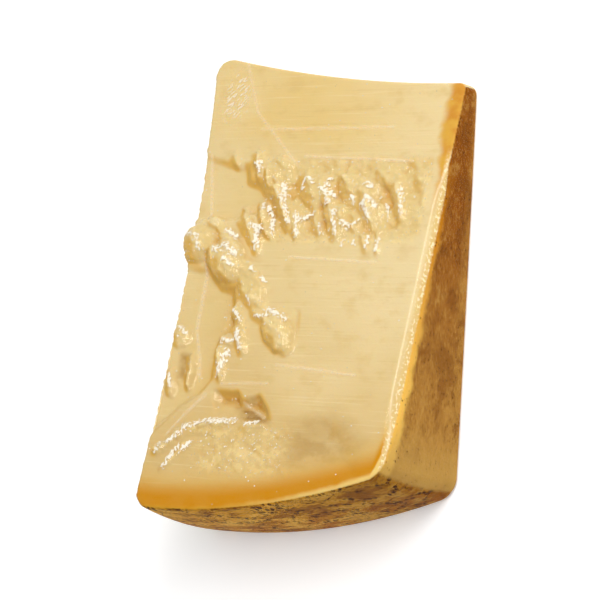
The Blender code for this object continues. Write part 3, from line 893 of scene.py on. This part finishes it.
def amber_edges(f, paste, mottled):
    """Amber bands of the upper face along the heel and the flat face, and the pale strip below its edge."""
    below_top, from_flat, from_heel = f.fact("below_top"), f.fact("from_flat"), f.fact("from_heel")
    from_tip, top, wavy = f.fact("from_tip"), below_top.falling(0.5, 1.4), (mottled - 0.5) * 3.0
    from_rim = from_heel + wavy - from_flat.falling(2.0, 6.0) * 7.0
    # painted highlight along the rounded upper edge by the heel, paler towards the flat face
    painted_edge_highlight = f.mix(RIM_PAINTED_HIGHLIGHT, RIM_PAINTED_HIGHLIGHT_BY_FLAT, from_flat.falling(20.0, 80.0))
    from_edge = from_flat + wavy * 2.0 + from_tip.rising(18.0, 44.0) * 3.0
    amber = f.mix(GOLD_BY_FLAT, AMBER_BY_FLAT, mottled.rising(0.35, 0.65))
    strip = from_flat.falling(1.6, 3.0) * below_top.falling(4.0, 6.0) * from_tip.rising(28.0, 40.0)
    bend = from_tip.rising(26.0, 56.0) * from_tip.falling(128.0, 166.0) * 3.6
    # a pale line along a crease of the film: painted highlight, partly milky film
    painted_crease_line = (from_flat - bend).near(0.0, 0.7) * from_tip.rising(26.0, 36.0) * top.most(strip)
    crumbs = f.noise(f.places(1.0, 0.7, 1.0), detail=2.0).rising(0.52, 0.6)
    return f.painted(
        paste,
        (GOLD_BY_HEEL, from_rim.falling(8.0, 22.0) * top * 0.6),
        (AMBER_BY_HEEL, from_rim.falling(5.0, 14.0) * (0.75 + mottled * 0.4).least(1.0) * top),
        (painted_edge_highlight, (from_rim + from_flat * 0.016).falling(1.2, 3.8)),
        (amber, from_edge.falling(5.0, 9.0) * from_tip.falling(40.0, 66.0) * top * 0.9),
        (STRIP, strip),
        (PAINTED_CREASE_HIGHLIGHT, painted_crease_line * 0.6),
        # pale crumbs on the strip, partly painted sparkle
        (STRIP_CRUMB_AND_PAINTED_SPARKLE, strip * crumbs * 0.7),
    )


def flat_rind(f, mottled, fibres, specks):
    """Brown, fibrous rind of the wheel's flat face, with a golden fringe below the pale strip."""
    from_heel, foot = f.fact("from_heel"), f.fact("height_share").falling(0.0, 0.35)
    blotches = f.noise(f.places(0.1, 0.07, 0.1), detail=6.0, roughness=0.65)
    by_heel = from_heel.falling(20.0, 120.0)
    below_strip = f.fact("below_top") + (mottled - 0.5) * 5.0 - by_heel * 2.0
    fringe = f.mix(FRINGE, FRINGE_BY_HEEL, by_heel)
    pale_lines = f.lines(f.places(0.05, 0.12, 0.3), 10.0, 0.05) * fibres.rising(0.45, 0.6)
    return f.painted(
        f.mix(FLAT_BROWN, FLAT_BY_HEEL, from_heel.falling(0.0, 130.0)),
        (FLAT_AT_FOOT, foot * 0.6),
        (DARK_FIBRE, fibres.rising(0.52, 0.64) * 0.5),
        (PALE_FIBRE, fibres.falling(0.36, 0.48) * 0.5),
        (DARK_BLOTCH, blotches.rising(0.5, 0.6) * 0.5),
        (PALE_BLOTCH, blotches.falling(0.38, 0.46) * 0.4),
        (fringe, below_strip.falling(3.0, 6.5) * f.fact("from_tip").rising(30.0, 70.0)),
        (WORN_CORNER, from_heel.falling(4.0, 30.0) * 0.7),
        (PALE_LINE, pale_lines * 0.5),
        (RIND_SPECK, specks * blotches.rising(0.44, 0.56) * 0.8),
    )


def heel_rind(f, fibres):
    """Brown rind of the wheel's side, with curved rows of dots and thin cracks."""
    patches = f.noise(f.places(0.05, 0.06, 0.1), detail=5.0, roughness=0.7)
    dots = f.dots(f.places(0.5, 0.5, 0.3)).falling(0.36, 0.5)
    dotted = f.lines(f.places(0.022, 0.03, 0.03), 6.0, 0.3) * dots
    cracks = f.lines(f.places(0.045, 0.05, 0.06), 6.0, 0.1) * fibres.rising(0.44, 0.54)
    return f.painted(
        f.mix(HEEL_AT_TOP, HEEL_AT_FOOT, f.fact("height_share").falling(0.1, 0.9)),
        (PALE_PATCH, patches.rising(0.5, 0.57) * 0.6),
        (DARK_PATCH, patches.falling(0.4, 0.48) * 0.7),
        (HEEL_FIBRE, fibres.rising(0.52, 0.6) * 0.6),
        (HEEL_BY_FLAT, f.fact("from_flat").falling(5.0, 60.0) * 0.45),
        (HEEL_DOT, dotted * 0.95),
        (HEEL_CRACK, cracks * 0.9),
    )


def paste_and_rind():
    """Straw-coloured paste with amber bands by the rind, and brown speckled rind."""
    f = Finish("paste_and_rind")
    torn, below_top = f.fact("torn"), f.fact("below_top")
    mottled = f.noise(f.places(0.11, 0.16, 0.11), detail=4.0)
    grain = f.noise(f.places(0.9, 0.9, 0.9), detail=3.0)
    streaks = f.noise(f.places(*STREAKS), detail=4.0, roughness=0.6)
    fibres = f.noise(f.places(0.7, 0.4, 0.9), detail=5.0, roughness=0.7)
    specks = f.dots(f.places(0.6, 0.5, 0.6)).falling(0.1, 0.26)
    ragged = (grain - 0.5) * 0.8
    on_rind = (f.fact("from_rind") + ragged).falling(0.5, 1.1) * (below_top + ragged).rising(0.3, 1.0)
    on_heel = (f.fact("from_flat") - f.fact("from_heel")).rising(-1.5, 1.5)
    paste = amber_edges(f, torn_paste(f, straw(f, mottled), mottled), mottled)
    rind = f.mix(flat_rind(f, mottled, fibres, specks), heel_rind(f, fibres), on_heel)
    height = grain * (0.5 + torn * 0.5) + streaks * (1 - torn) * 0.25 + mottled * on_rind - specks * on_rind
    inputs = {
        "Base Color": f.mix(paste, rind, on_rind),
        "Roughness": 0.5 + on_rind * 0.2,
        "Specular IOR Level": 0.06,
        "Normal": f.bump(height, 0.5, 0.0005),
        "Subsurface Weight": 0.3,
        "Subsurface Radius": (1.0, 0.55, 0.2),
        "Subsurface Scale": 0.0015,
    }
    return f.finish_with(f.node("ShaderNodeBsdfPrincipled", {}, inputs))


def film_glints(f, torn, fine, ragged):
    """How white the film is painted as glints where it is puckered, crinkled or rough, and at its specks."""
    painted_glint_pucker = f.fact("painted_glint_pucker")
    spots = (painted_glint_pucker * 0.8 + (ragged - 0.5) * 4.0).rising(0.4, 0.55) * painted_glint_pucker.rising(0.02, 0.15)
    turn = {"Vector": f.places(1, 1, 1), "Angle": CRINKLE_TURN}
    slanted = f.stretched(f.node("ShaderNodeVectorRotate", {"rotation_type": "Z_AXIS"}, turn), 0.4, 1.2, 0.5)
    crinkles = f.noise(slanted, detail=2.0).rising(0.53, 0.6) * f.fact("crinkled")
    specks = f.dots(f.places(0.22, 0.28, 0.22)).falling(0.05, 0.1) * fine.rising(0.48, 0.54)
    torn_specks = ragged.rising(0.62, 0.68) * torn * 0.7
    rough_specks = ragged.rising(0.6, 0.64) * fine.rising(0.44, 0.54) * torn.near(0.4, 0.3) * 0.85
    return (spots * 0.85).most(crinkles * 0.5).most(specks * 0.8).most(torn_specks).most(rough_specks)


def clear_film():
    """Thin see-through wrap with sharp reflections; painted glints where puckered; creases partly milky,
    partly painted white.
    """
    f = Finish("clear_film")
    torn, on_paste, crease = f.fact("torn"), f.fact("on_paste"), f.fact("crease")
    fine = f.noise(f.places(0.35, 0.6, 0.35), detail=3.0)
    sharp = f.noise(f.places(1.3, 1.0, 1.3), detail=3.0, roughness=0.6)
    drawn = f.noise(f.places(0.08, 0.9, 0.3), detail=2.0)
    ragged = f.noise(f.places(0.95, 0.7, 0.95), detail=3.0, roughness=0.65)
    normal = f.bump(fine * 0.6 + drawn * 0.5 + sharp * torn * 1.2, 0.4, 0.0006)
    gloss = f.node("ShaderNodeFresnel", {}, {"IOR": 1.5, "Normal": normal})
    sheen = (gloss * (0.04 + on_paste * (0.6 + torn * 0.6))).least(0.1)
    # Painted glints, and creases white partly as milky film and partly as a painted highlight
    white = film_glints(f, torn, fine, ragged).most(crease * (0.25 + fine.rising(0.4, 0.65) * 0.25))
    painted_glint_and_haze = white * on_paste + f.fact("loose").rising(0.5, 3.0) * 0.03
    inputs = {
        "Base Color": f.mix(GLINT, CREASE_GLINT, crease.rising(0.02, 0.2)),
        # Where glints are painted the film turns from a mirror to diffuse white
        "Metallic": painted_glint_and_haze.falling(0.0, 0.04),
        "Roughness": 0.1 + painted_glint_and_haze.rising(0.0, 0.3) * 0.3,
        "Normal": normal,
    }
    shine = f.node("ShaderNodeBsdfPrincipled", {}, inputs)
    clear = f.node("ShaderNodeBsdfTransparent")
    share = (sheen + painted_glint_and_haze).least(0.9)
    return f.finish_with(f.node("ShaderNodeMixShader", {}, {0: share, 1: clear, 2: shine}))


def floor_finish():
    f = Finish("pale_floor")
    inputs = {
        "Base Color": FLOOR_WHITE,
        "Roughness": 0.9,
        "Emission Color": FLOOR_WHITE,
        "Emission Strength": FLOOR_GLOW,
    }
    return f.finish_with(f.node("ShaderNodeBsdfPrincipled", {}, inputs))


# The pieces


def strokes(x, y, lines):
    """How close each point is to the nearest of these lines, from 0 to 1, with their ends faded out."""
    share = np.zeros(len(x))
    for start, end, half_width in lines:
        along, across = along_and_across(x, y, start, end)
        beyond = np.maximum(np.maximum(-along, along - 1.0), 0.0) * math.dist(start, end)
        share = np.maximum(share, np.clip(1.0 - np.hypot(across, beyond) / half_width, 0.0, 1.0))
    return share


def make_film(grid, rise, torn):
    """The film spans the narrow gaps of the paste and stands up in creases and puckers."""
    x, y, _ = grid.outline.T
    split, flat, tip, heel, _ = face_distances(grid.outline)
    film_rise = rise.copy()
    on_top = rise[grid.top]
    spanned = evened(bridged(on_top, BRIDGE_REACH), BRIDGE_EVENED)
    spanned = np.maximum(spanned, evened(on_top, FILM_EVENED))
    from_edges = np.minimum.reduce([-split, -flat, -tip, -heel])[grid.top]
    film_rise[grid.top] += (spanned - on_top) * smooth(*BRIDGES_INSIDE, from_edges)
    loose = film_rise - rise
    crease, painted_glint_pucker = strokes(x, y, CREASES), strokes(x, y, PAINTED_GLINT_PUCKERS)
    on_upper = on_upper_face(grid.normals)
    facets = chips(*turned(x, y, FACET_SIZE)) * FACET_RISE * smooth(*FACETS_TORN, torn)
    film_rise += (CREASE_RISE * crease + PUCKER_RISE * painted_glint_pucker + facets) * on_upper
    points = grid.outline + film_rise[:, None] * grid.normals
    points[:, 2] = np.maximum(points[:, 2], FILM_FOOT)
    away_x, away_y = (x - CRINKLED[0]) / CRINKLED_SIZE[0], (y - CRINKLED[1]) / CRINKLED_SIZE[1]
    facts = {
        "crease": crease * on_upper,
        "painted_glint_pucker": painted_glint_pucker * on_upper,
        "crinkled": smooth(*CRINKLED_FADE, np.hypot(away_x, away_y)) * on_upper,
        "loose": loose,
        "on_paste": smooth(*SHEEN_FROM_FLAT, -flat) * smooth(*SHEEN_FROM_HEEL, -heel),
        "torn": torn,
    }
    film = make_mesh("film", grid, points, facts)
    film.data.materials.append(clear_film())


def make_paste(grid, rise, torn, hollow):
    """The paste lies just inside the film, and has fine chips and grain where it is torn."""
    x, y, z = grid.outline.T
    _, flat, tip, heel, upper = face_distances(grid.outline)
    paste_rise = rise - PASTE_INSET + fine_relief(grid.outline, torn)
    points = grid.outline + paste_rise[:, None] * grid.normals
    points[:, 2] = np.maximum(points[:, 2], PASTE_FOOT)
    # Depth below the evened upper face: painted golden shade in grooves, and painted light on crests where
    # negative
    painted_shade_depth = np.zeros(len(x))
    on_top = paste_rise[grid.top]
    painted_shade_depth[grid.top] = evened(on_top, GROOVE_EVENED) - on_top
    in_flat, in_heel = np.maximum(HEEL_CORNERS + flat, 0.0), np.maximum(HEEL_CORNERS + heel, 0.0)
    facts = {
        "below_top": -upper,
        "from_flat": -flat,
        "from_heel": -heel,
        "from_tip": -tip,
        "from_rind": HEEL_CORNERS - np.hypot(in_flat, in_heel),
        "height_share": -z / (y * math.tan(CUT_ANGLE)),
        "torn": torn,
        "hollow": hollow,
        "painted_patch_shade": shade_patches_painted(x, y),
        "painted_shade_depth": painted_shade_depth,
    }
    paste = make_mesh("paste", grid, points, facts)
    # Flanks turned away from TO_THE_RIGHT get painted amber shade, evened over the upper face
    facing = np.empty(points.size, np.float32)
    paste.data.vertices.foreach_get("normal", facing)
    painted_shade_flank = (grid.normals - facing.reshape(-1, 3)) @ TO_THE_RIGHT
    painted_shade_flank[grid.top] = evened(painted_shade_flank[grid.top], FLANK_EVENED)
    add_fact(paste.data, "painted_shade_flank", painted_shade_flank)
    paste.data.materials.append(paste_and_rind())


def make_pieces():
    grid = Grid()
    rise, torn, hollow = relief(grid.outline, grid.normals)
    make_paste(grid, rise, torn, hollow)
    make_film(grid, rise, torn)


# Camera, floor and light


def make_camera():
    azimuth, elevation = math.radians(CAMERA_AZIMUTH), math.radians(CAMERA_ELEVATION)
    flat = math.cos(elevation)
    forward = Vector((-math.sin(azimuth) * flat, math.cos(azimuth) * flat, -math.sin(elevation)))
    level = forward.cross(Vector((0, 0, 1))).normalized()
    upright = level.cross(forward)
    roll = math.radians(CAMERA_ROLL)
    up = upright * math.cos(roll) - level * math.sin(roll)
    right = forward.cross(up)
    turn = Matrix((right, up, -forward)).transposed().to_4x4()
    data = bpy.data.cameras.new("camera")
    data.lens, data.sensor_width = LENS, SENSOR
    camera = bpy.data.objects.new("camera", data)
    camera.matrix_world = Matrix.Translation((LOOK_AT - forward * CAMERA_DISTANCE) * MM) @ turn
    bpy.context.scene.collection.objects.link(camera)
    bpy.context.scene.camera = camera


def make_floor():
    mesh = bpy.data.meshes.new("floor")
    corners = [(FLOOR_HALF * x, FLOOR_HALF * y, 0.0) for x, y in ((-1, -1), (1, -1), (1, 1), (-1, 1))]
    mesh.from_pydata(corners, [], [(0, 1, 2, 3)])
    floor = bpy.data.objects.new("floor", mesh)
    floor.data.materials.append(floor_finish())
    floor.location.z = -FLOOR_DROP
    bpy.context.scene.collection.objects.link(floor)
    floor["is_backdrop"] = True


def soft_box(name, toward, distance, sides, power):
    """A rectangular light in this direction from the part, turned to it."""
    data = bpy.data.lights.new(name, "AREA")
    data.shape = "RECTANGLE"
    data.size, data.size_y = sides
    data.energy = power
    light = bpy.data.objects.new(name, data)
    direction = Vector(toward).normalized()
    light.location = direction * distance
    light.rotation_euler = direction.to_track_quat("Z", "Y").to_euler()
    bpy.context.scene.collection.objects.link(light)


def make_light():
    world = bpy.data.worlds.new("soft_light")
    world.use_nodes = True
    background = world.node_tree.nodes["Background"]
    background.inputs["Color"].default_value = SKY_WHITE
    background.inputs["Strength"].default_value = SKY_STRENGTH
    bpy.context.scene.world = world
    for box in SOFT_BOXES:
        soft_box(*box)


def write_sizes(before):
    [[list(corner) for corner in box] for box in (before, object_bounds())]


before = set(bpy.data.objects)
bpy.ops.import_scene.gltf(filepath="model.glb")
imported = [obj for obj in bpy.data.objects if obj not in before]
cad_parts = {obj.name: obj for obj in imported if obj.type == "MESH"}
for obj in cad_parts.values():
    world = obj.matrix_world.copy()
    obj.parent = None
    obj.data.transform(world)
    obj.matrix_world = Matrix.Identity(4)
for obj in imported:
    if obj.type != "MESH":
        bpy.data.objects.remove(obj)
cad_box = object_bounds()
make_camera()
make_floor()
make_light()
bpy.context.scene.view_settings.view_transform = "Standard"
make_pieces()
write_sizes(cad_box)
